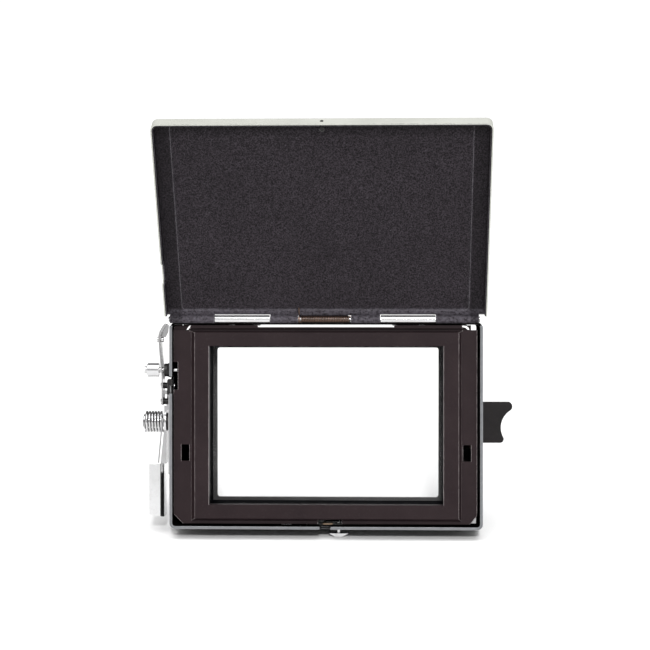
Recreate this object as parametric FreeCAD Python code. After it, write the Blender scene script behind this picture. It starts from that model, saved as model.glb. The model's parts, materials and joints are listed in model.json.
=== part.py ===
# Negative carrier for 6x9 cm film: a shallow sheet metal body with a sprung, hinged lid,
# a lift-out gate with a glass plate, a sliding format mask, a locking plunger, a release
# lever and a lid latch.
#
# Millimetres. +Z is up with the carrier standing on its lower edge, -Y is the lid side and
# +X is the side with the pull tab. The origin is the middle of the bottom limb of the rear rim.
# Inside the functions y is measured back from the front rim and z up from the underside of
# the body; save() moves both to the origin.
import FreeCAD, Part
import math
import os

os.makedirs("parts", exist_ok=True)

# body shell
BODY_WIDTH = 117.0
BODY_HEIGHT = 77.4
BODY_DEPTH = 30.0
SHEET = 1.0
CORNER_R = 2.2
HALF = BODY_WIDTH / 2
INNER = HALF - SHEET
CEILING = BODY_HEIGHT - SHEET

# hinge
HINGE_Y = 0.6
HINGE_Z = 78.5
KNUCKLE_R = 1.5
PIN_R = 0.6
BORE_R = 0.65
OPEN_ANGLE = 150.0
LID_KNUCKLES = [(-58.3, -41.55), (-20.65, -10.3), (9.45, 20.3), (41.0, 57.0)]
BODY_KNUCKLES = [(-41.35, -20.85), (20.5, 40.8)]
COIL_PITCH = 0.62
COIL_TURNS = 29.5
COIL_X0 = -9.3
COIL_X1 = COIL_X0 + COIL_TURNS * COIL_PITCH
COIL_MEAN_R = 1.08
COIL_WIRE_R = 0.27
LID_LEG_R = 0.22

# lid, drawn shut and then swung open
LID_HALF = 59.9
LID_BOTTOM = -1.6
LID_FRONT = -1.54
LID_RIM = 3.25
LID_SKIN = 0.5
LID_CORNER_R = 2.5
LINER_BAND = -0.3
LINER_FLOOR = -0.72
LID_WALL_TOP = 75.9

# gate
APERTURE_W = 87.6
APERTURE_H = 59.3
CENTRE_X = 0.1
CENTRE_Z = 38.8
FLANGE_FRONT = 1.9
FLANGE_BACK = 4.4
PLATEAU_FRONT = 0.05
TUNNEL_BACK = 16.0
GLASS_T = 1.2

# format mask
MASK_FRONT = 19.0
MASK_T = 1.0
WINDOW_W = 84.9
WINDOW_H = 57.35
PLATE_FRONT = 20.3
PLATE_BACK = 22.3

# side mechanism
PLUNGER_Y = 3.7
PLUNGER_Z = 59.35
LEVER_Y = 13.0
LEVER_Z = 39.35

# latch
LATCH_X = 4.7
LATCH_Y = 7.4
LATCH_TOP = 1.6
BUTTON_TOP = -2.1


def box(x0, x1, y0, y1, z0, z1):
    return Part.makeBox(x1 - x0, y1 - y0, z1 - z0, FreeCAD.Vector(x0, y0, z0))


def rod_x(x0, x1, y, z, r):
    return Part.makeCylinder(r, x1 - x0, FreeCAD.Vector(x0, y, z), FreeCAD.Vector(1, 0, 0))


def rod_y(x, y0, y1, z, r):
    return Part.makeCylinder(r, y1 - y0, FreeCAD.Vector(x, y0, z), FreeCAD.Vector(0, 1, 0))


def rod_z(x, y, z0, z1, r):
    return Part.makeCylinder(r, z1 - z0, FreeCAD.Vector(x, y, z0), FreeCAD.Vector(0, 0, 1))


def cone_x(x0, x1, y, z, r0, r1):
    return Part.makeCone(r0, r1, x1 - x0, FreeCAD.Vector(x0, y, z), FreeCAD.Vector(1, 0, 0))


def rod_between(start, end, r):
    a = FreeCAD.Vector(*start)
    b = FreeCAD.Vector(*end)
    return Part.makeCylinder(r, (b - a).Length, a, b - a)


def block(x0, x1, z0, z1, r, y0, y1):
    """Upright plate with rounded corners, r = 0 leaves them sharp."""
    solid = box(x0, x1, y0, y1, z0, z1)
    if r > 0:
        edges = [e for e in solid.Edges if abs(e.Vertexes[0].Y - e.Vertexes[1].Y) > (y1 - y0) / 2]
        solid = solid.makeFillet(r, edges)
    return solid


def prism_y(points, y0, y1):
    """Outline in x and z, pushed back from y0 to y1."""
    corners = [FreeCAD.Vector(x, y0, z) for x, z in points]
    face = Part.Face(Part.makePolygon(corners + corners[:1]))
    return face.extrude(FreeCAD.Vector(0, y1 - y0, 0))


def prism_z(points, z0, z1):
    """Outline in x and y, pulled up from z0 to z1."""
    corners = [FreeCAD.Vector(x, y, z0) for x, y in points]
    face = Part.Face(Part.makePolygon(corners + corners[:1]))
    return face.extrude(FreeCAD.Vector(0, 0, z1 - z0))


def prism_x(points, x0, x1):
    """Outline in y and z, pushed across from x0 to x1."""
    corners = [FreeCAD.Vector(x0, y, z) for y, z in points]
    face = Part.Face(Part.makePolygon(corners + corners[:1]))
    return face.extrude(FreeCAD.Vector(x1 - x0, 0, 0))


def join(first, *others):
    solid = first
    for other in others:
        solid = solid.fuse(other)
    return solid.removeSplitter()


def coil(x0, x1, y, z, mean_r, wire_r, pitch):
    """Close-wound wire round an axis that runs along x."""
    helix = Part.makeHelix(pitch, x1 - x0, mean_r)
    circle = Part.Circle(FreeCAD.Vector(mean_r, 0, 0), FreeCAD.Vector(0, 1, 0), wire_r)
    profile = Part.Wire([circle.toShape()])
    solid = Part.Wire(helix.Edges).makePipeShell([profile], True, True)
    solid.rotate(FreeCAD.Vector(0, 0, 0), FreeCAD.Vector(0, 1, 0), 90)
    solid.translate(FreeCAD.Vector(x0, y, z))
    return solid


def swing_open(shape):
    shape.rotate(FreeCAD.Vector(0, HINGE_Y, HINGE_Z), FreeCAD.Vector(1, 0, 0), -OPEN_ANGLE)
    return shape


def save(name, shape):
    shape.translate(FreeCAD.Vector(0, -BODY_DEPTH, -SHEET / 2))
    shape.exportStep("parts/" + name + ".step")


def body_shell():
    shell = block(-HALF, HALF, 0, BODY_HEIGHT, CORNER_R, 0, BODY_DEPTH)
    shell = shell.cut(block(-INNER, INNER, SHEET, CEILING, CORNER_R - SHEET, -1, BODY_DEPTH + 1))
    # stiffening beads along the ceiling
    for x0, x1 in [(-56.0, -26.0), (26.0, 53.5)]:
        shell = shell.fuse(box(x0, x1, 23.5, 24.5, CEILING - 0.45, CEILING + 0.5))
    shell = shell.removeSplitter()
    # room for the hinge row
    shell = shell.cut(box(-INNER, INNER, -1, 2.8, CEILING - 0.5, BODY_HEIGHT + 1))
    shell = shell.cut(box(-HALF - 1, HALF + 1, -1, 2.8, HINGE_Z - 2.4, BODY_HEIGHT + 1))
    # left wall: finger slot and plunger hole
    shell = shell.cut(box(-HALF - 1, -INNER + 1, -1, 5.6, 50.6, 57.1))
    shell = shell.cut(rod_x(-HALF - 1, -INNER + 1, PLUNGER_Y, PLUNGER_Z, 1.05))
    # right wall: slot for the format mask
    shell = shell.cut(box(INNER - 1, HALF + 1, MASK_FRONT - 0.3, MASK_FRONT + MASK_T + 0.3, 5.3, 72.3))
    # floor: slot for the latch button and a notch for the lid stud
    shell = shell.cut(box(LATCH_X - 1.0, LATCH_X + 4.0, LATCH_Y - 1.0, LATCH_Y + 1.0, -1, 2))
    notch = [(-2.3, -1), (1.4, -1), (2.2, 2), (-2.3, 2)]
    shell = shell.cut(prism_y(notch, -1, 2.4))
    for x, y in LATCH_STUDS:
        shell = shell.cut(rod_z(x, y, -1, 2, 0.6))
    for y, z in WALL_RIVETS_YZ:
        shell = shell.cut(rod_x(-HALF - 1, HALF + 1, y, z, 0.9))
    for y, z in LEAF_RIVETS_YZ:
        shell = shell.cut(rod_x(-HALF - 1, -INNER + 1, y, z, 0.8))
    for z in REST_RIVETS_Z:
        shell = shell.cut(rod_x(-HALF - 1, -INNER + 1, 9.0, z, 0.7))
        shell = shell.cut(rod_x(INNER - 1, HALF + 1, 9.0, z, 0.7))
    shell = shell.cut(rod_x(-HALF - 1, -INNER + 1, LEVER_Y, LEVER_Z, 1.4))
    shell = shell.cut(rod_x(INNER - 1, HALF + 1, DETENT_Y, DETENT_Z, 0.7))
    for x in LEAF_X:
        shell = shell.cut(rod_z(x, 8.0, CEILING - 1, BODY_HEIGHT + 1, 0.8))
    return shell


LATCH_STUDS = [(-1.6, 9.2), (10.6, 9.2)]
WALL_RIVETS_YZ = [(26.5, 20.0), (26.5, 38.8), (26.5, 57.6)]
LEAF_RIVETS_YZ = [(6.6, 53.4), (6.6, 47.4)]
REST_RIVETS_Z = [22.0, 46.0]
DETENT_Y = 14.2
DETENT_Z = 34.0
LEAF_X = [-36.0, -26.0, 26.0, 36.0]


def body_hinge_leaf():
    top = BODY_HEIGHT + 0.6
    leaf = box(-41.3, 40.75, 3.2, 11.5, BODY_HEIGHT, top)
    for x0, x1 in BODY_KNUCKLES:
        leaf = leaf.fuse(box(x0, x1, HINGE_Y, 3.3, BODY_HEIGHT, top))
        leaf = leaf.fuse(rod_x(x0, x1, HINGE_Y, HINGE_Z, KNUCKLE_R))
    leaf = leaf.removeSplitter()
    leaf = leaf.cut(rod_x(-60, 60, HINGE_Y, HINGE_Z, BORE_R))
    for x in LEAF_X:
        leaf = leaf.cut(rod_z(x, 8.0, BODY_HEIGHT - 1, top + 1, 0.8))
    return leaf


def hinge_leaf_rivets():
    top = BODY_HEIGHT + 0.6
    rivets = []
    for x in LEAF_X:
        shank = rod_z(x, 8.0, CEILING - 0.4, top + 0.1, 0.8)
        head = Part.makeSphere(2.0, FreeCAD.Vector(x, 8.0, top - 1.35))
        head = head.common(rod_z(x, 8.0, top, top + 1, 1.6))
        foot = rod_z(x, 8.0, CEILING - 0.4, CEILING, 1.2)
        rivets.append(join(shank, head, foot))
    return Part.makeCompound(rivets)


def hinge_pin():
    pin = rod_x(-58.4, 57.1, HINGE_Y, HINGE_Z, PIN_R)
    left = rod_x(-58.75, -58.4, HINGE_Y, HINGE_Z, 1.0)
    right = rod_x(57.1, 57.45, HINGE_Y, HINGE_Z, 1.0)
    return join(pin, left, right)


def hinge_spring_coil():
    wire = coil(COIL_X0, COIL_X1, HINGE_Y, HINGE_Z, COIL_MEAN_R, COIL_WIRE_R, COIL_PITCH)
    x = COIL_X1 + 0.05
    leg_top = (x, HINGE_Y - 0.1, HINGE_Z + COIL_MEAN_R)
    leg = rod_between(leg_top, (x, 9.0, BODY_HEIGHT + 0.95), COIL_WIRE_R)
    return wire.fuse(leg)


def hinge_spring_lid_leg():
    x = COIL_X0 - 0.58
    eye = rod_x(x - 0.25, x + 0.25, HINGE_Y, HINGE_Z, COIL_MEAN_R + 0.24)
    eye = eye.cut(rod_x(x - 1, x + 1, HINGE_Y, HINGE_Z, COIL_MEAN_R - 0.24))
    bend = (x, 0.0, HINGE_Z - 1.2)
    slant = rod_between((x, HINGE_Y - COIL_MEAN_R + 0.05, HINGE_Z - 0.2), bend, LID_LEG_R)
    straight = rod_between(bend, (x, 0.03, HINGE_Z - 4.6), LID_LEG_R)
    elbow = Part.makeSphere(LID_LEG_R, FreeCAD.Vector(*bend))
    return swing_open(eye.fuse(slant).fuse(elbow).fuse(straight))


def lid_outline(inset, top, y0, y1):
    solid = box(-LID_HALF + inset, LID_HALF - inset, y0, y1, LID_BOTTOM + inset, top)
    low = [e for e in solid.Edges
           if abs(e.Vertexes[0].Y - e.Vertexes[1].Y) > 0.1 and e.Vertexes[0].Z < 0.5]
    return solid.makeFillet(LID_CORNER_R - inset, low)


def plunger_notch():
    return box(-LID_HALF - 1, -LID_HALF + 2, 0.8, 5, 54.0, 62.4)


def lid_cover():
    cover = lid_outline(0, HINGE_Z - 1.0, LID_FRONT, LID_RIM)
    cover = cover.cut(lid_outline(LID_SKIN, HINGE_Z + 1, LID_FRONT + LID_SKIN, LID_RIM + 1))
    cover = cover.cut(box(-61, 61, LID_FRONT + LID_SKIN, 5, LID_WALL_TOP, 80))
    cover = cover.cut(plunger_notch())
    cover = cover.cut(rod_z(0.1, 0.9, LID_BOTTOM - 1, 0, 0.6))
    return swing_open(cover)


def lid_liner():
    floor_back = LID_FRONT + LID_SKIN
    liner = lid_outline(LID_SKIN, HINGE_Z - 1.6, floor_back, LID_RIM - 0.2)
    liner = liner.cut(lid_outline(2 * LID_SKIN, HINGE_Z + 1, LINER_BAND, LID_RIM + 1))
    liner = liner.cut(box(-61, 61, LINER_BAND, 5, LID_WALL_TOP, 80))
    # shallow pressed panel, open towards the free end of the lid
    panel = block(-53.4, 53.1, -10.0, 74.9, 1.6, LINER_FLOOR, 2)
    liner = liner.cut(panel.common(box(-60, 60, -2, 3, LID_BOTTOM + 2 * LID_SKIN, 80)))
    liner = liner.fuse(box(-10.6, 10.0, floor_back, LINER_BAND, HINGE_Z - 2.2, HINGE_Z - 1.1))
    # thin flap behind the spring coil
    liner = liner.fuse(box(-10.0, 8.4, floor_back, floor_back + 0.2, HINGE_Z - 1.2, HINGE_Z + 0.1))
    for x0, x1 in LID_KNUCKLES:
        liner = liner.fuse(box(x0, x1, floor_back, LINER_BAND, HINGE_Z - 2.2, HINGE_Z))
        liner = liner.fuse(rod_x(x0, x1, HINGE_Y, HINGE_Z, KNUCKLE_R))
    liner = liner.removeSplitter()
    liner = liner.cut(rod_x(-60, 60, HINGE_Y, HINGE_Z, BORE_R))
    liner = liner.cut(plunger_notch())
    liner = liner.cut(rod_z(0.1, 0.9, LID_BOTTOM - 1, 0, 0.6))
    return swing_open(liner)


def lid_catch_stud():
    foot = box(-1.1, 1.3, LINER_BAND, 2.1, LID_BOTTOM + 2 * LID_SKIN, -0.1)
    rivet = rod_z(0.1, 0.9, LID_BOTTOM - 0.15, LID_BOTTOM + 2 * LID_SKIN, 0.6)
    post = rod_y(0.1, LINER_FLOOR, 1.5, 1.3, 0.85)
    web = box(-0.3, 0.5, LINER_BAND, 1.2, -0.3, 1.3)
    return swing_open(join(foot, rivet, web, post).cut(box(-3, 3, LINER_FLOOR - 1, LINER_BAND, -2, 4.0)))


def gate_frame():
    """Cast frame: thin flange, raised pad round the window, set-back ledge along the top."""
    top = 76.2
    outline = [(-57.1, 5.35), (-53.6, 1.85), (53.7, 1.85), (56.4, 5.15), (56.4, 74.4), (54.2, 74.4),
               (54.2, top), (25.5, top), (25.5, 75.5), (-25.5, 75.5), (-25.5, top), (-56.3, top),
               (-57.1, 75.4)]
    frame = prism_y(outline, FLANGE_FRONT, FLANGE_BACK)
    ledge_front = FLANGE_FRONT + 1.4
    frame = frame.cut(box(-58.0, -50.9, 0, ledge_front, 74.4, 77.0))
    frame = frame.cut(box(50.9, 57.0, 0, ledge_front, 74.4, 77.0))
    frame = frame.cut(box(-50.9, 50.9, 0, FLANGE_FRONT + 1.0, 73.9, 75.0))
    slanted_gap = [(-52.5, 74.5), (-51.7, 74.5), (-50.7, 76.0), (-51.5, 76.0)]
    curved_gap = [(50.9, 75.55), (52.1, 75.3), (53.0, 74.5), (53.6, 74.5), (53.3, 75.35),
                  (52.4, 75.95), (50.9, 76.1)]
    frame = frame.cut(prism_y(slanted_gap, 0, 6))
    frame = frame.cut(prism_y(curved_gap, 0, 6))
    foot = rectangle_y(-50.6, 50.7, 2.9, 74.0, FLANGE_FRONT + 0.2)
    crown = rectangle_y(-49.0, 49.6, 4.0, 73.5, PLATEAU_FRONT)
    frame = frame.fuse(Part.makeLoft([foot, crown], True, True)).removeSplitter()
    frame = frame.cut(aperture_block(0, 0, -1, 6))
    # finger slots, plunger notch and latch notch
    frame = frame.cut(box(-54.2, -51.2, 1, 6, 25.3, 31.5))
    frame = frame.cut(box(51.2, 54.2, 1, 6, 25.3, 31.5))
    frame = frame.cut(box(-58, -55.5, 1, 6, 52.0, 62.4))
    return frame.cut(box(-3.0, 6.0, 1, 6, 1, 3.5))


def rectangle_y(x0, x1, z0, z1, y):
    """Closed upright rectangle used as a loft section."""
    corners = [(x0, z0), (x1, z0), (x1, z1), (x0, z1), (x0, z0)]
    return Part.makePolygon([FreeCAD.Vector(x, y, z) for x, z in corners])


def aperture_block(grow, r, y0, y1):
    x = APERTURE_W / 2 + grow
    z = APERTURE_H / 2 + grow
    return block(CENTRE_X - x, CENTRE_X + x, CENTRE_Z - z, CENTRE_Z + z, r, y0, y1)


def gate_tunnel():
    tube = aperture_block(1.2, 0.8, FLANGE_BACK, TUNNEL_BACK)
    tube = tube.fuse(aperture_block(4.6, 2.0, TUNNEL_BACK - 1.2, TUNNEL_BACK)).removeSplitter()
    tube = tube.cut(aperture_block(0, 0, 0, 20))
    for x, z in CLIP_SPOTS:
        tube = tube.cut(rod_y(x, TUNNEL_BACK - 3, TUNNEL_BACK + 1, z, 0.6))
    return tube


CLIP_SPOTS = [(-46.9, 20.0), (-46.9, 57.6), (47.1, 20.0), (47.1, 57.6)]


def gate_glass():
    return aperture_block(1.6, 1.0, TUNNEL_BACK, TUNNEL_BACK + GLASS_T)


def glass_clips():
    clips = []
    y0 = TUNNEL_BACK + GLASS_T
    for x, z in CLIP_SPOTS:
        side = 1 if x > 0 else -1
        inner = x - side * 2.4
        outer = x + side * 1.3
        foot = x - side * 1.2
        lip = box(min(inner, outer), max(inner, outer), y0, y0 + 0.4, z - 3, z + 3)
        base = box(min(foot, outer), max(foot, outer), TUNNEL_BACK, y0, z - 3, z + 3)
        clips.append(join(lip, base).cut(rod_y(x, TUNNEL_BACK - 1, y0 + 1, z, 0.6)))
    return Part.makeCompound(clips)


def clip_screws():
    screws = []
    y0 = TUNNEL_BACK + GLASS_T + 0.4
    for x, z in CLIP_SPOTS:
        screw = join(rod_y(x, TUNNEL_BACK - 1.2, y0, z, 0.6), rod_y(x, y0, y0 + 0.7, z, 1.2))
        screws.append(screw.cut(box(x - 2, x + 2, y0 + 0.4, y0 + 1, z - 0.15, z + 0.15)))
    return Part.makeCompound(screws)


def format_mask():
    plate = block(-50.0, 56.0, 5.9, 71.7, 1.0, MASK_FRONT, MASK_FRONT + MASK_T)
    tab = tab_outline(MASK_FRONT, MASK_FRONT + MASK_T)
    mask = plate.fuse(tab).removeSplitter()
    window = block(CENTRE_X - WINDOW_W / 2, CENTRE_X + WINDOW_W / 2, CENTRE_Z - WINDOW_H / 2,
                   CENTRE_Z + WINDOW_H / 2, 1.0, MASK_FRONT - 1, MASK_FRONT + 3)
    return mask.cut(window)


def tab_outline(y0, y1):
    """Pull tab: flat top, a horn at each end of a hollow finger curve."""
    def at(x, z):
        return FreeCAD.Vector(x, y0, z)
    edges = [
        Part.makeLine(at(52.0, 31.05), at(66.0, 31.05)),
        Part.Arc(at(66.0, 31.05), at(67.3, 31.75), at(67.35, 33.2)).toShape(),
        Part.Arc(at(67.35, 33.2), at(66.5, 38.2), at(70.2, 43.6)).toShape(),
        Part.Arc(at(70.2, 43.6), at(70.75, 45.3), at(69.4, 46.85)).toShape(),
        Part.makeLine(at(69.4, 46.85), at(52.0, 46.85)),
        Part.makeLine(at(52.0, 46.85), at(52.0, 31.05)),
    ]
    return Part.Face(Part.Wire(edges)).extrude(FreeCAD.Vector(0, y1 - y0, 0))


def base_plate():
    plate = block(-50.0, 50.0, 2.9, 74.7, 1.5, PLATE_FRONT, PLATE_BACK)
    plate = plate.cut(aperture_block(1.6, 1.5, PLATE_FRONT - 1, PLATE_BACK + 1))
    for x, z in BASE_SCREWS:
        plate = plate.cut(rod_y(x, PLATE_FRONT - 1, PLATE_BACK + 1, z, 0.9))
    for x in GUIDE_RIVETS_X:
        plate = plate.cut(rod_y(x, PLATE_FRONT - 1, PLATE_BACK + 1, 4.4, 0.6))
        plate = plate.cut(rod_y(x, PLATE_FRONT - 1, PLATE_BACK + 1, 73.2, 0.6))
    return plate


BASE_SCREWS = [(-47.8, 20.0), (-47.8, 57.6), (47.9, 20.0), (47.9, 57.6)]
GUIDE_RIVETS_X = [-38.0, 0.0, 38.0]


def mask_guide(rib_z0, rib_z1, lip_z0, lip_z1, rivet_z):
    rib = box(-50.0, 50.0, MASK_FRONT - 0.9, PLATE_FRONT, rib_z0, rib_z1)
    lip = box(-50.0, 50.0, MASK_FRONT - 0.9, MASK_FRONT - 0.2, lip_z0, lip_z1)
    guide = join(rib, lip)
    for x in GUIDE_RIVETS_X:
        guide = guide.cut(rod_y(x, MASK_FRONT - 2, PLATE_FRONT + 1, rivet_z, 0.6))
    return guide


def mask_guide_top():
    return mask_guide(72.0, 74.5, 70.6, 72.1, 73.2)


def mask_guide_bottom():
    return mask_guide(3.1, 5.6, 5.5, 7.0, 4.4)


def guide_rivets():
    rivets = []
    for x in GUIDE_RIVETS_X:
        for z in (4.4, 73.2):
            shank = rod_y(x, MASK_FRONT - 0.9, PLATE_BACK, z, 0.6)
            rivets.append(join(shank, rod_y(x, PLATE_BACK, PLATE_BACK + 0.5, z, 1.1)))
    return Part.makeCompound(rivets)


def wall_rail(side):
    """Folded angle from the side wall to the back of the base plate."""
    web = box(INNER - 1.2, INNER, PLATE_BACK, BODY_DEPTH - 1.0, 14.0, 64.0)
    shelf = box(46.2, INNER, PLATE_BACK, PLATE_BACK + 1.2, 14.0, 64.0)
    rail = join(web, shelf)
    for y, z in WALL_RIVETS_YZ:
        rail = rail.cut(rod_x(INNER - 3, INNER + 1, y, z, 0.9))
    if side < 0:
        rail = rail.mirror(FreeCAD.Vector(0, 0, 0), FreeCAD.Vector(1, 0, 0))
    for x, z in BASE_SCREWS:
        rail = rail.cut(rod_y(x, PLATE_BACK - 1, PLATE_BACK + 3, z, 0.9))
    return rail


def rail_left():
    return wall_rail(-1)


def rail_right():
    return wall_rail(1)


def rail_rivets():
    rivets = []
    for side in (-1, 1):
        for y, z in WALL_RIVETS_YZ:
            rivet = rod_x(INNER - 1.5, HALF, y, z, 0.9)
            rivet = rivet.fuse(cone_x(HALF, HALF + 0.6, y, z, 1.7, 1.1))
            rivet = join(rivet, rod_x(INNER - 1.6, INNER - 1.2, y, z, 1.3))
            if side < 0:
                rivet = rivet.mirror(FreeCAD.Vector(0, 0, 0), FreeCAD.Vector(1, 0, 0))
            rivets.append(rivet)
    return Part.makeCompound(rivets)


def base_screws():
    screws = []
    seat = PLATE_BACK + 1.2
    for x, z in BASE_SCREWS:
        screw = join(rod_y(x, PLATE_FRONT + 0.1, seat, z, 0.9), rod_y(x, seat, seat + 1.1, z, 1.7))
        screws.append(screw.cut(box(x - 2, x + 2, seat + 0.6, seat + 2, z - 0.25, z + 0.25)))
    return Part.makeCompound(screws)


def gate_rest(side, z1):
    web = box(INNER - 0.8, INNER, FLANGE_BACK + 0.15, 12.5, 14.0, z1)
    shelf = box(54.7, INNER, FLANGE_BACK + 0.15, FLANGE_BACK + 1.15, 14.0, z1)
    rest = join(web, shelf)
    if side < 0:
        rest = rest.mirror(FreeCAD.Vector(0, 0, 0), FreeCAD.Vector(1, 0, 0))
    for z in REST_RIVETS_Z:
        rest = rest.cut(rod_x(-60, 60, 9.0, z, 0.7))
    for y, z in LEAF_RIVETS_YZ:
        rest = rest.cut(rod_x(-60, -50, y, z, 1.6))
    rest = rest.cut(rod_x(-60, -50, LEVER_Y, LEVER_Z, 2.6))
    return rest


def gate_rest_left():
    return gate_rest(-1, 49.5)


def gate_rest_right():
    return gate_rest(1, 64.0)


def gate_corner_plate():
    """Bright three-cornered plate behind the cut lower right corner of the gate."""
    return prism_y([(52.6, 2.0), (56.2, 2.0), (56.2, 6.4)], FLANGE_BACK, FLANGE_BACK + 0.5)


def rest_rivets():
    rivets = []
    for side in (-1, 1):
        for z in REST_RIVETS_Z:
            rivet = rod_x(INNER - 1.1, HALF, 9.0, z, 0.7)
            rivet = join(rivet, rod_x(INNER - 1.2, INNER - 0.8, 9.0, z, 1.2))
            if side < 0:
                rivet = rivet.mirror(FreeCAD.Vector(0, 0, 0), FreeCAD.Vector(1, 0, 0))
            rivets.append(rivet)
    return Part.makeCompound(rivets)


def mask_detent_spring():
    path = [(57.5, 16.0), (57.5, 12.8), (57.2, 12.8), (57.2, 15.8), (50.6, 18.2), (49.6, 17.5),
            (49.4, 17.75), (50.6, 18.6)]
    leaf = prism_z(path, 29.2, 39.0)
    return leaf.cut(rod_x(INNER - 3, INNER + 1, DETENT_Y, DETENT_Z, 0.7))


def detent_rivet():
    rivet = rod_x(INNER - 0.3, HALF, DETENT_Y, DETENT_Z, 0.7)
    rivet = rivet.fuse(rod_x(INNER - 0.7, INNER - 0.3, DETENT_Y, DETENT_Z, 1.2))
    return join(rivet, rod_x(HALF, HALF + 0.4, DETENT_Y, DETENT_Z, 1.2))


def side_plate():
    outline = [(4.7, 20.0), (21.0, 20.0), (21.0, 55.5), (5.35, 55.5), (5.35, 50.0), (4.7, 50.0)]
    plate = prism_x(outline, -HALF - 1.0, -HALF)
    for y, z in LEAF_RIVETS_YZ:
        plate = plate.cut(rod_x(-HALF - 2, -HALF + 1, y, z, 0.8))
    plate = plate.cut(rod_x(-HALF - 2, -HALF + 1, LEVER_Y, LEVER_Z, 1.4))
    return plate


def side_leaf_spring():
    """Flat leaf held by two rivets below, bowed away from the wall above."""
    outer = [(-61.6, 46.3), (-61.6, 57.0), (-61.95, 60.5), (-62.25, 64.0), (-62.55, 68.0),
             (-62.8, 72.2), (-62.3, 73.9), (-61.2, 75.8), (-60.3, 76.9)]
    inner = [(-59.9, 76.7), (-60.75, 75.4), (-61.75, 73.6), (-62.2, 72.1), (-62.0, 68.0),
             (-61.7, 64.0), (-61.4, 60.5), (-61.1, 57.0), (-61.1, 46.3)]
    leaf = prism_y(outer + inner, 1.2, 8.4)
    lug = [(-62.3, 71.9), (-61.8, 73.6), (-60.7, 75.4), (-59.9, 76.6), (-59.4, 76.2),
           (-59.6, 73.6), (-60.6, 71.6)]
    leaf = leaf.fuse(prism_y(lug, 5.4, 6.0)).removeSplitter()
    leaf = leaf.cut(rod_x(-70, -50, PLUNGER_Y, PLUNGER_Z, 1.35))
    leaf = leaf.cut(rod_x(-70, -61, TIP_SCREW_Y, TIP_SCREW_Z, 0.5))
    for y, z in LEAF_RIVETS_YZ:
        leaf = leaf.cut(rod_x(-62, -61, y, z, 0.8))
    return leaf


TIP_SCREW_Y = 3.4
TIP_SCREW_Z = 70.8


def leaf_tip_screw():
    shank = rod_x(-62.9, -61.0, TIP_SCREW_Y, TIP_SCREW_Z, 0.5)
    head = rod_x(-63.5, -62.85, TIP_SCREW_Y, TIP_SCREW_Z, 1.0)
    nut = rod_x(-62.0, -61.0, TIP_SCREW_Y, TIP_SCREW_Z, 0.95)
    slot = box(-65, -63.2, TIP_SCREW_Y - 0.2, TIP_SCREW_Y + 0.2, TIP_SCREW_Z - 2, TIP_SCREW_Z + 2)
    return join(shank, head.cut(slot), nut)


def leaf_collars():
    collars = []
    for y, z in LEAF_RIVETS_YZ:
        collars.append(rod_x(-61.1, -HALF - 1.0, y, z, 1.15).cut(rod_x(-62, -59, y, z, 0.8)))
    return Part.makeCompound(collars)


def leaf_rivets():
    rivets = []
    for y, z in LEAF_RIVETS_YZ:
        shank = rod_x(-61.7, -INNER + 0.4, y, z, 0.8)
        head = cone_x(-62.6, -61.6, y, z, 0.9, 1.45)
        foot = rod_x(-INNER, -INNER + 0.4, y, z, 1.2)
        rivets.append(join(shank, head, foot))
    return Part.makeCompound(rivets)


def plunger_barrel():
    barrel = rod_x(-60.7, -HALF, PLUNGER_Y, PLUNGER_Z, 2.45)
    barrel = join(barrel, cone_x(-59.6, -HALF, PLUNGER_Y, PLUNGER_Z, 2.45, 2.9))
    return barrel.cut(rod_x(-62, -50, PLUNGER_Y, PLUNGER_Z, 1.05))


def plunger_pin():
    stem = rod_x(-65.0, -57.9, PLUNGER_Y, PLUNGER_Z, 1.0)
    nose = rod_x(-58.0, -55.85, PLUNGER_Y, PLUNGER_Z, 0.68)
    return join(stem, nose)


def plunger_knob():
    body = rod_x(-66.9, -62.7, PLUNGER_Y, PLUNGER_Z, 2.6)
    body = body.fuse(cone_x(-67.2, -66.9, PLUNGER_Y, PLUNGER_Z, 2.3, 2.6))
    boss = rod_x(-68.3, -67.2, PLUNGER_Y, PLUNGER_Z, 1.35)
    knob = join(body, boss)
    knob = knob.cut(rod_x(-65.0, -60.0, PLUNGER_Y, PLUNGER_Z, 1.0))
    return knob.cut(box(-69, -67.9, PLUNGER_Y - 2, PLUNGER_Y + 2, PLUNGER_Z - 0.4, PLUNGER_Z + 0.4))


def lever_pivot_post():
    post = rod_x(-70.1, -HALF - 1.0, LEVER_Y, LEVER_Z, 2.0)
    tail = rod_x(-HALF - 1.0, -INNER + 0.5, LEVER_Y, LEVER_Z, 1.4)
    foot = rod_x(-INNER, -INNER + 0.5, LEVER_Y, LEVER_Z, 2.1)
    return join(post, tail, foot).cut(rod_x(-69.7, -69.3, LEVER_Y, LEVER_Z, 3).cut(
        rod_x(-69.7, -69.3, LEVER_Y, LEVER_Z, 1.6)))


def lever_bushing():
    collar = rod_x(-60.9, -HALF - 1.0, LEVER_Y, LEVER_Z, 3.4)
    return collar.cut(rod_x(-62, -58, LEVER_Y, LEVER_Z, 2.0))


def lever_retainer():
    ring = rod_x(-69.7, -69.3, LEVER_Y, LEVER_Z, 2.9)
    return ring.cut(rod_x(-71, -68, LEVER_Y, LEVER_Z, 1.6))


def lever_torsion_spring():
    wire = coil(-69.2, -62.5, LEVER_Y, LEVER_Z, 3.65, 0.48, 1.11)
    tail = rod_between((-69.3, LEVER_Y + 3.65, LEVER_Z), (-69.3, LEVER_Y + 3.65, LEVER_Z + 3.2), 0.48)
    return Part.makeCompound([wire, tail])


def lever_spring_leg():
    return rod_between((-62.15, LEVER_Y - 4.55, 41.0), (-63.75, LEVER_Y - 4.55, 23.9), 0.3)


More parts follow.
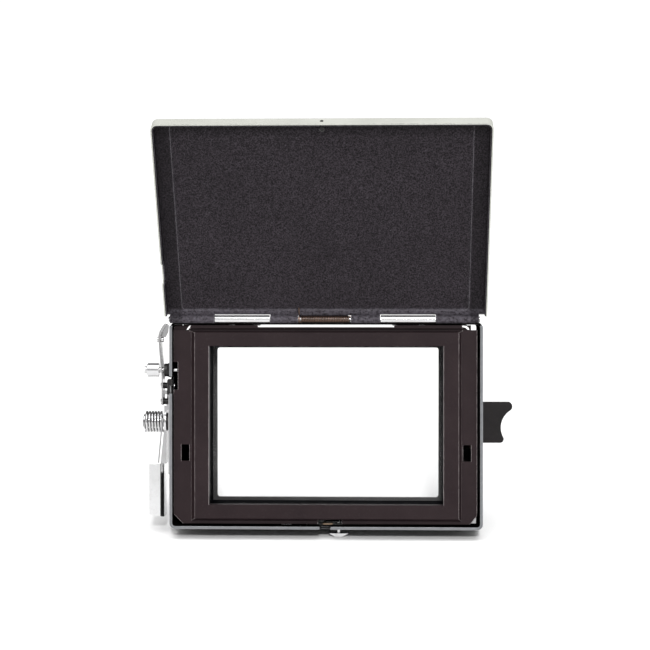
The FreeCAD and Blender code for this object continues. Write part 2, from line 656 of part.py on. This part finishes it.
def release_lever():
    hub = rod_x(-61.8, -60.9, LEVER_Y, LEVER_Z, 4.6)
    jog = box(-61.8, -59.9, 10.4, 14.6, 43.9, 45.5)
    shank = box(-61.8, -60.9, 10.4, 14.6, 41.0, 45.5)
    arm = box(-60.8, -59.9, 10.4, 14.6, 44.6, 51.7)
    bar = box(-60.8, -59.9, 3.8, 14.6, 50.2, 51.7)
    wedge = [(-60.9, 37.5), (-60.9, 23.6), (-63.1, 23.6), (-61.8, 36.2), (-61.8, 37.5)]
    lower = prism_y(wedge, 9.6, 16.8)
    lever = join(hub, shank, jog, arm, bar, lower)
    hollow = prism_y([(-61.8, 34.0), (-61.8, 23.0), (-62.6, 23.0)], 10.4, 16.0)
    lever = lever.cut(hollow)
    return lever.cut(rod_x(-64, -60, LEVER_Y, LEVER_Z, 2.08))


def lever_pawl():
    """Dark finger on the end of the lever bar, reaching in through the slot in the wall."""
    foot = box(-59.9, -59.0, 3.8, 4.9, 50.2, 51.7)
    finger = box(-59.8, -59.0, 3.8, 4.9, 50.2, 56.0)
    tip = box(-59.8, -57.9, 3.8, 4.9, 53.4, 56.0)
    pawl = join(foot, finger, tip)
    heel = [e for e in pawl.Edges
            if abs(e.CenterOfMass.x + 59.8) < 0.01 and abs(e.CenterOfMass.z - 56.0) < 0.01]
    return pawl.makeFillet(0.7, heel)


def lever_thumb_pad():
    """Bent sheet: a web in line with the lever that turns out into a gently curved thumb face."""
    def at(x, y):
        return FreeCAD.Vector(x, y, 0)
    edges = [
        Part.makeLine(at(-61.8, 17.5), at(-61.8, 10.42)),
        Part.Arc(at(-61.8, 10.42), at(-62.21, 9.28), at(-63.2, 8.69)).toShape(),
        Part.Arc(at(-63.2, 8.69), at(-65.2, 8.4), at(-67.3, 8.3)).toShape(),
        Part.makeLine(at(-67.3, 8.3), at(-67.3, 9.2)),
        Part.Arc(at(-67.3, 9.2), at(-65.3, 9.29), at(-63.39, 9.57)).toShape(),
        Part.Arc(at(-63.39, 9.57), at(-62.9, 9.86), at(-62.7, 10.42)).toShape(),
        Part.makeLine(at(-62.7, 10.42), at(-62.7, 17.5)),
        Part.makeLine(at(-62.7, 17.5), at(-61.8, 17.5)),
    ]
    pad = Part.Face(Part.Wire(edges)).extrude(FreeCAD.Vector(0, 0, 20.7))
    pad.translate(FreeCAD.Vector(0, 0, 2.9))
    slope = prism_y([(-69, 1), (-60, 1), (-60, 3.1), (-69, 4.6)], 0, 30)
    return pad.cut(slope)


def latch_plate():
    x = LATCH_X
    plate = box(-7.0, 15.0, LATCH_Y - 2.4, LATCH_Y + 4.2, SHEET + 0.1, LATCH_TOP)
    for sx, sy in LATCH_STUDS:
        slot = box(sx - 3.1, sx, sy - 0.7, sy + 0.7, 0, 4)
        slot = slot.fuse(rod_z(sx, sy, 0, 4, 0.7)).fuse(rod_z(sx - 3.1, sy, 0, 4, 0.7))
        plate = plate.cut(slot)
    return plate.cut(rod_z(x, LATCH_Y, 0, 4, 0.7))


def latch_tongue():
    """Brass blade on top of the latch plate, reaching forward to the lid stud."""
    return block_z(-1.2, 2.65, 2.1, 7.5, 0.3, LATCH_TOP, LATCH_TOP + 0.5)


def block_z(x0, x1, y0, y1, r, z0, z1):
    """Flat plate with rounded corners."""
    solid = box(x0, x1, y0, y1, z0, z1)
    edges = [e for e in solid.Edges if abs(e.Vertexes[0].Z - e.Vertexes[1].Z) > (z1 - z0) / 2]
    return solid.makeFillet(r, edges)


def latch_button():
    """Slim stem with a tapered thumb lug below the body; the carrier rests on it."""
    stem = rod_z(LATCH_X, LATCH_Y, BUTTON_TOP - 0.5, LATCH_TOP, 0.7)
    peen = rod_z(LATCH_X, LATCH_Y, LATCH_TOP, LATCH_TOP + 0.4, 1.1)
    outline = [(-3.5, 0.0), (3.5, 0.0), (3.5, -0.2), (1.2, -1.5), (-1.2, -1.5), (-3.5, -0.2)]
    lug = prism_y([(LATCH_X + x, BUTTON_TOP + z) for x, z in outline], LATCH_Y - 1.5, LATCH_Y + 1.5)
    return join(stem, peen, lug)


def latch_guide_studs():
    studs = []
    for x, y in LATCH_STUDS:
        stud = rod_z(x, y, 0, LATCH_TOP + 0.1, 0.6)
        studs.append(join(stud, rod_z(x, y, LATCH_TOP + 0.1, LATCH_TOP + 0.6, 1.3)))
    return Part.makeCompound(studs)


def latch_spring():
    path = [(-17.0, SHEET), (-13.5, SHEET), (-10.5, SHEET + 1.3), (-7.15, SHEET + 0.15),
            (-7.15, SHEET + 0.5), (-10.5, SHEET + 1.65), (-13.7, SHEET + 0.35), (-17.0, SHEET + 0.35)]
    return prism_y(path, LATCH_Y - 1.5, LATCH_Y + 3.0)


PIECES = [
    body_shell, body_hinge_leaf, hinge_leaf_rivets, hinge_pin, hinge_spring_coil,
    hinge_spring_lid_leg, lid_cover, lid_liner, lid_catch_stud, gate_frame, gate_tunnel,
    gate_glass, glass_clips, clip_screws, format_mask, base_plate, mask_guide_top,
    mask_guide_bottom, guide_rivets, rail_left, rail_right, rail_rivets, base_screws,
    gate_rest_left, gate_rest_right, gate_corner_plate, rest_rivets, mask_detent_spring,
    detent_rivet, side_plate, side_leaf_spring, leaf_tip_screw, leaf_collars,
    leaf_rivets, plunger_barrel, plunger_pin, plunger_knob, lever_pivot_post,
    lever_bushing, lever_retainer, lever_torsion_spring, lever_spring_leg,
    release_lever, lever_pawl, lever_thumb_pad, latch_plate, latch_tongue, latch_button,
    latch_guide_studs, latch_spring,
]

for piece in PIECES:
    save(piece.__name__, piece())
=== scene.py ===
import bpy
import json
import math
from mathutils import Matrix, Vector

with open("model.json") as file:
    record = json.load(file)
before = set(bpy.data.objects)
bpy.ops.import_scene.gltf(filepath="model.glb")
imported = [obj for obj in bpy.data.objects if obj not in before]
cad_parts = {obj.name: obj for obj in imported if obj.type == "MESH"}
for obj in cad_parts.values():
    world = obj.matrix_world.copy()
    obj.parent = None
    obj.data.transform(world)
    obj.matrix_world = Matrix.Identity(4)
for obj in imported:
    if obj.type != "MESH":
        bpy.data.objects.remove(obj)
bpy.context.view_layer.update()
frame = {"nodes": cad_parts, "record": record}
scene = bpy.context.scene
MM = 0.001

# ---------------------------------------------------------------- the part's driving sizes, in mm
SHEET = 1.0
BODY_WIDTH = 117.0
BODY_HEIGHT = 77.4
BODY_DEPTH = 30.0
LUG_DROP = 3.6          # the latch's lug stands this far below the body
LUG_FORWARD = 23.8      # and its front edge is about this far in front of the rear rim
PANEL_HALF = 53.3       # half the width of the pressed panel in the lid's lining

# ---------------------------------------------------------------- camera
CAMERA_AT = Vector((22.9, -654.7, 81.5)) * MM
YAW = -2.12             # degrees, positive turns to the right
PITCH = -0.52           # degrees, positive turns up
LENS = 92.95
SENSOR = 36.0


def make_camera():
    data = bpy.data.cameras.new("camera")
    data.lens = LENS
    data.sensor_width = SENSOR
    data.clip_start = 0.01
    data.clip_end = 20.0
    data.dof.use_dof = False
    camera = bpy.data.objects.new("camera", data)
    scene.collection.objects.link(camera)
    camera.location = CAMERA_AT
    camera.rotation_euler = (math.radians(90 + PITCH), 0, math.radians(-YAW))
    scene.camera = camera


make_camera()
scene.view_settings.view_transform = "Standard"
scene.view_settings.look = "None"


# ---------------------------------------------------------------- node graphs
RAYS = 6                # per shading point, for rounded corners and for hollows
FLAT_DOT = 0.985        # true and rounded normals agree this well where a face counts as flat
CORNER_DOT = 0.86       # and this well where it counts as a full corner


def grey(v):
    return (v, v, v, 1.0)


class Nodes:
    """A node tree with short calls for the nodes used here."""

    def __init__(self, tree):
        self.tree = tree

    def add(self, kind, **settings):
        node = self.tree.nodes.new(kind)
        for key, value in settings.items():
            setattr(node, key, value)
        return node

    def link(self, out, into):
        self.tree.links.new(out, into)

    def set(self, socket, value):
        if isinstance(value, bpy.types.NodeSocket):
            self.link(value, socket)
        else:
            socket.default_value = value

    def ramp(self, value, *stops):
        """Maps a value to a grey or a colour between (position, colour) stops."""
        node = self.add("ShaderNodeValToRGB")
        self.link(value, node.inputs["Fac"])
        bar = node.color_ramp
        while len(bar.elements) < len(stops):
            bar.elements.new(0.5)
        for element, (position, colour) in zip(bar.elements, stops):
            element.position = position
            element.color = grey(colour) if isinstance(colour, (int, float)) else (*colour, 1.0)
        return node.outputs["Color"]

    def mix(self, amount, a, b):
        node = self.add("ShaderNodeMix", data_type="RGBA")
        self.set(node.inputs[0], amount)
        self.set(node.inputs[6], a if isinstance(a, bpy.types.NodeSocket) else (*a, 1.0))
        self.set(node.inputs[7], b if isinstance(b, bpy.types.NodeSocket) else (*b, 1.0))
        return node.outputs[2]

    def rescale(self, value, **bounds):
        """Straight-line change of scale; the bounds are from_min, from_max, to_min and to_max."""
        node = self.add("ShaderNodeMapRange")
        self.link(value, node.inputs["Value"])
        for key, bound in bounds.items():
            node.inputs[key.replace("_", " ").title()].default_value = bound
        return node.outputs["Result"]

    def axes(self, vector):
        """The X, Y and Z sockets of a vector."""
        node = self.add("ShaderNodeSeparateXYZ")
        self.link(vector, node.inputs[0])
        return node.outputs


class Graph(Nodes):
    """A material and its node tree; sizes in mm, places in the part's own frame."""

    def __init__(self, name):
        self.material = bpy.data.materials.new(name)
        self.material.use_nodes = True
        super().__init__(self.material.node_tree)
        self.tree.nodes.clear()
        self.shader = self.add("ShaderNodeBsdfPrincipled")
        output = self.add("ShaderNodeOutputMaterial")
        self.link(self.shader.outputs["BSDF"], output.inputs["Surface"])
        self.place = self.add("ShaderNodeTexCoord").outputs["Object"]

    def stretch(self, x, y, z):
        node = self.add("ShaderNodeMapping")
        self.link(self.place, node.inputs["Vector"])
        node.inputs["Scale"].default_value = (x, y, z)
        return node.outputs["Vector"]

    def noise(self, size_mm, detail=4.0, rough=0.55, place=None, distortion=0.0):
        node = self.add("ShaderNodeTexNoise")
        self.link(place or self.place, node.inputs["Vector"])
        node.inputs["Scale"].default_value = 1.0 / (size_mm * MM)
        node.inputs["Detail"].default_value = detail
        node.inputs["Roughness"].default_value = rough
        node.inputs["Distortion"].default_value = distortion
        return node.outputs["Fac"]

    def cells(self, size_mm, feature="F1"):
        node = self.add("ShaderNodeTexVoronoi", feature=feature)
        self.link(self.place, node.inputs["Vector"])
        node.inputs["Scale"].default_value = 1.0 / (size_mm * MM)
        return node.outputs["Distance"]

    def math(self, operation, a, b=0.0, clamp=False):
        node = self.add("ShaderNodeMath", operation=operation, use_clamp=clamp)
        self.set(node.inputs[0], a)
        self.set(node.inputs[1], b)
        return node.outputs[0]

    def dot(self, a, b):
        node = self.add("ShaderNodeVectorMath", operation="DOT_PRODUCT")
        self.link(a, node.inputs[0])
        self.set(node.inputs[1], b)
        return node.outputs["Value"]

    def between(self, value, low, high):
        """Rescales a 0 to 1 value to the range low to high."""
        return self.rescale(value, to_min=low, to_max=high)

    def rounded(self, radius_mm):
        """The surface's normal with its corners rounded to the radius."""
        bevel = self.add("ShaderNodeBevel", samples=RAYS)
        bevel.inputs["Radius"].default_value = radius_mm * MM
        return bevel.outputs["Normal"]

    def edge(self, radius_mm, upright_only=False):
        """1 where the surface turns a corner within the radius, 0 on flat faces.

        upright_only keeps nothing but corners whose rounded normal points sideways."""
        rounded = self.rounded(radius_mm)
        true_normal = self.add("ShaderNodeNewGeometry").outputs["Normal"]
        turned = self.ramp(self.dot(rounded, true_normal), (CORNER_DOT, 1.0), (FLAT_DOT, 0.0))
        if not upright_only:
            return turned
        sideways = self.math("ABSOLUTE", self.axes(rounded)["X"])
        return self.math("MULTIPLY", turned, self.ramp(sideways, (0.05, 0.0), (0.30, 1.0)))

    def open_air(self, reach_mm):
        """1 on outer corners and flat faces, less in hollows within the reach."""
        node = self.add("ShaderNodeAmbientOcclusion", samples=RAYS)
        node.inputs["Distance"].default_value = reach_mm * MM
        return node.outputs["AO"]

    def bump(self, height, depth_mm, strength=1.0, after=None):
        node = self.add("ShaderNodeBump")
        self.link(height, node.inputs["Height"])
        node.inputs["Distance"].default_value = depth_mm * MM
        node.inputs["Strength"].default_value = strength
        if after is not None:
            self.link(after, node.inputs["Normal"])
        return node.outputs["Normal"]

    def along(self, direction, start_mm, end_mm):
        """0 to 1 along a direction through the part, between two distances from the origin."""
        distance = self.dot(self.place, direction)
        return self.rescale(distance, from_min=start_mm * MM, from_max=end_mm * MM)

    def finish(self, **inputs):
        for key, value in inputs.items():
            self.set(self.shader.inputs[key.replace("_", " ")], value)
        return self.material


# ---------------------------------------------------------------- materials
SCRATCHED_PAINT = (0.20, 0.19, 0.19)
PAINT_FLECK = (0.10, 0.09, 0.09)
PAINTED_SHADE_BLACK = (0.0012, 0.0011, 0.0012)
CUT_SHEET = (0.19, 0.195, 0.205)
LINT = (0.11, 0.105, 0.12)
PAINTED_LIT_BAND = (0.12, 0.11, 0.13)
LINING_SHADE = (0.0016, 0.0014, 0.0016)
BARE_LINING = (0.22, 0.21, 0.23)
LACQUER_SOIL = (0.25, 0.245, 0.21)
LACQUER_CHIP = (0.12, 0.12, 0.12)
PIT = (0.12, 0.105, 0.095)
HOLLOW_SHADE = (0.05, 0.042, 0.036)
CLEAR_GLASS = (0.93, 0.95, 0.95)
DUST_SPECK = (0.10, 0.09, 0.08)

FORWARD = (0.0, -1.0, 0.0)
# the front cut edge of the sheet, by distance in front of the rear rim
FRONT_RIM = (BODY_DEPTH - 0.6, BODY_DEPTH - 0.3)
# an upright box half way through the body's walls, inside which the body is darkened as painted shade
WALLS = {"half_x": (BODY_WIDTH - SHEET) / 2, "middle_z": (BODY_HEIGHT - SHEET) / 2,
         "half_z": (BODY_HEIGHT - SHEET) / 2}


def worn_edges_and_highlights(g, colour, bare, wear, radius_mm=0.35, patch_mm=2.6, upright_only=False):
    """Paint rubbed through to metal on the corners, partly standing in for painted edge highlights:
    returns the colour and how metallic it is.
    """
    patches = g.ramp(g.noise(patch_mm, 6.0, 0.7), (0.34, 0.25), (0.62, 1.0))
    exposed = g.ramp(g.open_air(1.0), (0.80, 0.0), (0.95, 1.0))
    patches = g.math("MULTIPLY", patches, exposed)
    rubbed = g.math("MULTIPLY", g.edge(radius_mm, upright_only=upright_only), patches)
    rubbed = g.math("MULTIPLY", rubbed, wear, clamp=True)
    return g.mix(rubbed, colour, bare), rubbed


def outside_of_box(g, half_x, middle_z, half_z):
    """1 on the faces outside an upright box, open at front and back, 0 inside it; sizes in mm."""
    place = g.axes(g.place)
    sideways = g.math("SUBTRACT", g.math("ABSOLUTE", place["X"]), half_x * MM)
    height = g.math("SUBTRACT", place["Z"], middle_z * MM)
    upwards = g.math("SUBTRACT", g.math("ABSOLUTE", height), half_z * MM)
    return g.math("GREATER_THAN", g.math("MAXIMUM", sideways, upwards), 0.0)


def painted(name, dark, light, bare, grain_mm, grain_depth, rough, wear, specular, rim=None,
            upright_only=False, painted_shade_within=None):
    """Black paint: cloudy tone, fine grain, handling marks, corners rubbed to bare metal that partly
    stand in for a painted edge highlight, and painted shade inside a box.

    rim is the stretch over which the front cut edge's rubbed grey comes in; inside the box given last,
    painted shade darkens the colour to near black and takes the shine away."""
    g = Graph(name)
    cloud = g.noise(14.0, 5.0, 0.6)
    colour = g.mix(g.ramp(cloud, (0.35, 0.0), (0.68, 1.0)), dark, light)
    fleck = g.noise(0.55, 2.0, 0.5)
    colour = g.mix(g.ramp(fleck, (0.60, 0.0), (0.80, 0.12)), colour, PAINT_FLECK)
    scratch = g.noise(0.9, 3.0, 0.6, g.stretch(1.0, 1.0, 0.05), 0.4)
    scratch = g.ramp(scratch, (0.71, 0.0), (0.76, 1.0))
    colour = g.mix(g.math("MULTIPLY", scratch, 0.07), colour, SCRATCHED_PAINT)
    # painted shade: inside the walls the colour is darkened towards near black and the shine taken away
    if painted_shade_within is not None:
        outside = outside_of_box(g, **painted_shade_within)
        colour = g.mix(outside, g.mix(0.72, colour, PAINTED_SHADE_BLACK), colour)
        specular = g.between(outside, 0.0, specular)
    if rim is not None:
        cut_edge = g.along(FORWARD, *rim)
        rubbed_rim = g.math("MULTIPLY", cut_edge, g.between(g.noise(1.8, 5.0, 0.7), 0.55, 1.0))
        colour = g.mix(rubbed_rim, colour, CUT_SHEET)
    colour, metal = worn_edges_and_highlights(g, colour, bare, wear, upright_only=upright_only)
    smooth = g.between(g.noise(5.0, 5.0, 0.6), rough - 0.07, rough + 0.09)
    grain = g.noise(grain_mm, 3.0, 0.6)
    normal = g.bump(grain, grain_depth, 1.0, g.rounded(0.2))
    return g.finish(Base_Color=colour, Metallic=g.math("MULTIPLY", metal, 0.85), Roughness=smooth,
                    Normal=normal, Specular_IOR_Level=specular)


def lid_line():
    """The direction from the hinge to the open lid's free end, and the hinge's distance along it."""
    joints = {joint["name"]: joint for joint in frame["record"]["behaviour"]["joints"]}
    hinge = joints["lid_hinge"]
    shut_to_open = math.radians(hinge["range_deg"][1] - hinge["range_deg"][0])
    up = Vector((0.0, -math.sin(shut_to_open), -math.cos(shut_to_open)))
    return tuple(up), up.dot(Vector(hinge["pos_m"])) / MM


LID_UP, HINGE_ALONG = lid_line()


def beyond_hinge(g, start_mm, end_mm):
    """0 to 1 along the open lid, between two distances from its hinge."""
    return g.along(LID_UP, HINGE_ALONG + start_mm, HINGE_ALONG + end_mm)


def wrinkle_paint():
    """Charcoal wrinkle finish of the lid's lining.

    It is painted lighter in a band at the hinge, as painted light on the step there, and painted shade
    darkens it beside and beyond the pressed panel."""
    g = Graph("lid_wrinkle")
    ridges = g.cells(0.42, "SMOOTH_F1")
    warp = g.noise(0.66, 5.0, 0.75, None, 0.8)
    crinkle = g.math("ADD", g.math("MULTIPLY", ridges, 0.8), warp)
    # painted shade and painted highlight: the crinkle's troughs are coloured darker and its crests
    # lighter, as light falls on the wrinkles
    tone = g.ramp(crinkle, (0.48, (0.0020, 0.0016, 0.0020)), (0.72, (0.0074, 0.0060, 0.0072)),
                  (1.0, (0.036, 0.030, 0.036)))
    patch = g.ramp(g.noise(24.0, 4.0, 0.6), (0.3, 0.0), (0.7, 0.3))
    tone = g.mix(patch, tone, (0.0065, 0.0055, 0.0066))
    dust = g.ramp(g.noise(0.42, 2.0, 0.5), (0.64, 0.0), (0.80, 0.6))
    tone = g.mix(dust, tone, LINT)
    # painted light: a lighter band at the hinge, where the step faces the light
    band = g.math("MULTIPLY", beyond_hinge(g, -2.4, -1.6), beyond_hinge(g, 4.2, 3.4))
    band = g.math("MULTIPLY", band, g.ramp(g.noise(0.9, 4.0, 0.7), (0.36, 0.0), (0.62, 0.6)))
    tone = g.mix(band, tone, PAINTED_LIT_BAND)
    beyond_panel = g.math("SUBTRACT", g.math("ABSOLUTE", g.axes(g.place)["X"]), PANEL_HALF * MM)
    margin = g.ramp(g.math("MULTIPLY", beyond_panel, 1.0 / MM), (0.0, 0.0), (0.8, 0.40))
    free_end = g.math("MULTIPLY", beyond_hinge(g, 75.5, 77.5), 0.55)
    tone = g.mix(g.math("MAXIMUM", margin, free_end), tone, LINING_SHADE)
    # corners of the pressed panel rubbed to bare lining over a wide radius: partly wear, partly a
    # painted highlight along the step
    tone, metal = worn_edges_and_highlights(g, tone, BARE_LINING, wear=0.62, radius_mm=0.9, patch_mm=1.4)
    normal = g.bump(crinkle, 0.13, 1.0, g.rounded(0.16))
    return g.finish(Base_Color=tone, Metallic=g.math("MULTIPLY", metal, 0.6),
                    Roughness=g.between(warp, 0.42, 0.66), Normal=normal, Specular_IOR_Level=0.08)


def pale_lacquer():
    """Off-white lacquer over aluminium, slightly soiled, chipped along its edges."""
    g = Graph("lid_lacquer")
    tone = g.mix(g.ramp(g.noise(18.0, 5.0, 0.6), (0.35, 0.0), (0.7, 1.0)),
                 (0.40, 0.405, 0.370), (0.46, 0.465, 0.430))
    soil = g.ramp(g.noise(3.0, 6.0, 0.7), (0.60, 0.0), (0.80, 0.40))
    tone = g.mix(soil, tone, LACQUER_SOIL)
    patches = g.ramp(g.noise(1.3, 5.0, 0.7), (0.50, 0.0), (0.58, 1.0))
    tone = g.mix(g.math("MULTIPLY", g.edge(0.28), patches), tone, LACQUER_CHIP)
    peel = g.noise(0.7, 3.0, 0.5)
    normal = g.bump(peel, 0.012, 1.0, g.rounded(0.18))
    return g.finish(Base_Color=tone, Roughness=g.between(g.noise(4.0, 4.0, 0.6), 0.30, 0.46),
                    Normal=normal, Specular_IOR_Level=0.3)


def plating(name, bright, dull, rough_low, rough_high, pits=0.4):
    """Plated metal: drawn lines, faint tarnish, small pits, painted shade in the corners, softened
    edges.
    """
    g = Graph(name)
    tarnish = g.ramp(g.noise(5.0, 5.0, 0.6), (0.38, 0.0), (0.72, 1.0))
    tone = g.mix(tarnish, bright, dull)
    spots = g.ramp(g.noise(0.45, 2.0, 0.6), (0.66, 0.0), (0.74, pits))
    tone = g.mix(spots, tone, PIT)
    # painted shade: hollows and corners darkened where little light reaches them
    hollow = g.ramp(g.open_air(1.2), (0.35, 1.0), (0.80, 0.0))
    tone = g.mix(g.math("MULTIPLY", hollow, 0.55), tone, HOLLOW_SHADE)
    drawn = g.noise(0.25, 3.0, 0.6, g.stretch(1.0, 0.04, 1.0))
    smooth = g.math("ADD", g.between(tarnish, rough_low, rough_high), g.between(drawn, -0.04, 0.05))
    normal = g.bump(drawn, 0.006, 0.8, g.rounded(0.14))
    return g.finish(Base_Color=tone, Metallic=1.0, Roughness=smooth, Normal=normal)


def plate_glass():
    """Clear plate with a few dust specks."""
    g = Graph("plate_glass")
    size = g.ramp(g.noise(9.0, 2.0, 0.5), (0.50, 0.0), (0.75, 1.0))
    speck = g.math("LESS_THAN", g.cells(11.0), g.between(size, 0.0, 0.03))
    haze = g.ramp(g.noise(30.0, 4.0, 0.6), (0.4, 0.015), (0.8, 0.04))
    alpha = g.math("MAXIMUM", g.math("MULTIPLY", speck, 0.55), haze)
    tone = g.mix(speck, CLEAR_GLASS, DUST_SPECK)
    return g.finish(Base_Color=tone, Roughness=0.03, Alpha=alpha)


MATERIALS = {
    "body_black": painted("body_black", dark=(0.0075, 0.0072, 0.0076), light=(0.0125, 0.0118, 0.0122),
                          bare=(0.50, 0.50, 0.51), grain_mm=0.35, grain_depth=0.014, rough=0.44,
                          wear=0.5, specular=0.10, rim=FRONT_RIM, painted_shade_within=WALLS),
    # the gate's rubbed corners are kept to its upright edges: partly wear, partly painted highlights
    # where light catches those edges
    "gate_satin": painted("gate_satin", dark=(0.0130, 0.0076, 0.0088), light=(0.0180, 0.0112, 0.0124),
                          bare=(0.62, 0.56, 0.56), grain_mm=0.30, grain_depth=0.008, rough=0.50,
                          wear=0.9, specular=0.10, upright_only=True),
    "well_black": painted("well_black", dark=(0.0016, 0.0017, 0.0023), light=(0.0032, 0.0034, 0.0044),
                          bare=(0.30, 0.31, 0.34), grain_mm=0.40, grain_depth=0.010, rough=0.55,
                          wear=0.3, specular=0.001),
    "mask_black": painted("mask_black", dark=(0.0075, 0.0062, 0.0066), light=(0.0125, 0.0105, 0.0110),
                          bare=(0.42, 0.40, 0.39), grain_mm=0.35, grain_depth=0.010, rough=0.44,
                          wear=0.6, specular=0.14),
    "plate_steel": painted("plate_steel", dark=(0.004, 0.004, 0.0043), light=(0.008, 0.008, 0.0083),
                           bare=(0.4, 0.4, 0.4), grain_mm=0.4, grain_depth=0.012, rough=0.5,
                           wear=0.3, specular=0.04),
    "oxide_black": painted("oxide_black", dark=(0.006, 0.0055, 0.0055), light=(0.011, 0.0100, 0.0100),
                           bare=(0.45, 0.44, 0.43), grain_mm=0.3, grain_depth=0.006, rough=0.34,
                           wear=0.4, specular=0.25),
    "lid_wrinkle": wrinkle_paint(),
    "lid_lacquer": pale_lacquer(),
    "plated_steel": plating("plated_steel", bright=(0.63, 0.63, 0.64), dull=(0.55, 0.545, 0.54),
                            rough_low=0.10, rough_high=0.15),
    "bare_steel": plating("bare_steel", bright=(0.50, 0.50, 0.51), dull=(0.36, 0.35, 0.34),
                          rough_low=0.26, rough_high=0.42),
    "spring_bronze": plating("spring_bronze", bright=(0.160, 0.106, 0.084), dull=(0.088, 0.060, 0.049),
                             rough_low=0.36, rough_high=0.48),
    "latch_brass": plating("latch_brass", bright=(0.20, 0.145, 0.10), dull=(0.12, 0.085, 0.060),
                           rough_low=0.28, rough_high=0.44),
    "plate_glass": plate_glass(),
}

# pieces given a lighter copy of their slot's finish: the thumb pad's brighter plating, with fewer pits,
# is a painted reflection of its bright surroundings
PAINTED_LIGHT_COPIES = {
    "lever_thumb_pad": plating("thumb_pad", bright=(0.86, 0.86, 0.865), dull=(0.78, 0.78, 0.78),
                               rough_low=0.12, rough_high=0.18, pits=0.2),
}


def paint_cad_nodes():
    for part in frame["record"]["subparts"]:
        node = frame["nodes"][part["node"]]
        material = PAINTED_LIGHT_COPIES.get(part["node"], MATERIALS[part["material_slot"]])
        if not node.material_slots:
            node.data.materials.append(material)
        for slot in node.material_slots:
            slot.link = "OBJECT"
            slot.material = material


paint_cad_nodes()


# ---------------------------------------------------------------- floor and light
LEAN = math.atan2(LUG_DROP, LUG_FORWARD)
UNDER_REAR_RIM = Vector((0.0, 0.0, -SHEET / 2)) * MM
FLOOR_REACH = 4.0       # metres each way
PAPER_WHITE = ((0.93, 0.93, 0.93), (0.95, 0.95, 0.95))

# greys of the surroundings by height: -1 is straight down, 0 level and 1 straight up
BACKDROP = ((-1.0, 1.0), (0.24, 1.0), (0.36, 0.10), (0.97, 0.22))
ROOM_IN_FRONT = ((-1.0, 1.05), (-0.14, 1.05), (-0.03, 0.55), (0.30, 0.55), (0.75, 0.62), (0.97, 0.25))
# how much of the backdrop is seen, from 0 to 1, by how far a direction points to the back
BACK_SHARE = ((-0.10, 0.0), (0.12, 1.0))
WORLD_STRENGTH = 1.08


def add_mesh(name, points, faces, material):
    mesh = bpy.data.meshes.new(name)
    mesh.from_pydata([tuple(p) for p in points], [], faces)
    mesh.materials.append(material)
    obj = bpy.data.objects.new(name, mesh)
    scene.collection.objects.link(obj)
    return obj


def floor_material():
    g = Graph("floor_paper")
    tone = g.mix(g.ramp(g.noise(260.0, 2.0, 0.5), (0.3, 0.0), (0.7, 1.0)), *PAPER_WHITE)
    return g.finish(Base_Color=tone, Roughness=0.85, Specular_IOR_Level=0.1,
                    Normal=g.bump(g.noise(0.8, 2.0, 0.5), 0.01, 0.4))


def make_floor():
    """Paper under the rear rim, tilted because the carrier leans back with its latch's lug in front."""
    lean = Matrix.Rotation(LEAN, 3, "X")
    corners = [(-1, -1, 0), (1, -1, 0), (1, 1, 0), (-1, 1, 0)]
    points = [lean @ (Vector(c) * FLOOR_REACH) + UNDER_REAR_RIM for c in corners]
    add_mesh("floor", points, [(0, 1, 2, 3)], floor_material())


def soft_sun(name, azimuth, elevation, strength, spread):
    """A far, soft source, in degrees: azimuth 0 is in front and positive is to the right."""
    data = bpy.data.lights.new(name, "SUN")
    data.energy = strength
    data.angle = math.radians(spread)
    light = bpy.data.objects.new(name, data)
    scene.collection.objects.link(light)
    side, up = math.radians(azimuth), math.radians(elevation)
    towards = Vector((math.sin(side) * math.cos(up), -math.cos(side) * math.cos(up), math.sin(up)))
    light.rotation_euler = towards.to_track_quat("Z", "Y").to_euler()


def make_world():
    """White backdrop, dark high up; in front a grey room, brighter below eye level."""
    world = bpy.data.worlds.new("studio")
    world.use_nodes = True
    nodes = Nodes(world.node_tree)

    def by_direction(value, stops):
        """Greys at stops from -1 to 1."""
        share = nodes.rescale(value, from_min=-1.0, from_max=1.0)
        return nodes.ramp(share, *[((position + 1.0) / 2.0, tone) for position, tone in stops])

    way = nodes.axes(nodes.add("ShaderNodeTexCoord").outputs["Generated"])
    tone = nodes.mix(by_direction(way["Y"], BACK_SHARE), by_direction(way["Z"], ROOM_IN_FRONT),
                     by_direction(way["Z"], BACKDROP))
    background = nodes.tree.nodes["Background"]
    nodes.link(tone, background.inputs["Color"])
    background.inputs["Strength"].default_value = WORLD_STRENGTH
    scene.world = world


def make_light():
    make_world()
    soft_sun("key", azimuth=4.0, elevation=23.0, strength=1.9, spread=6.0)
    soft_sun("overhead", azimuth=0.0, elevation=62.0, strength=2.5, spread=60.0)


make_floor()
make_light()
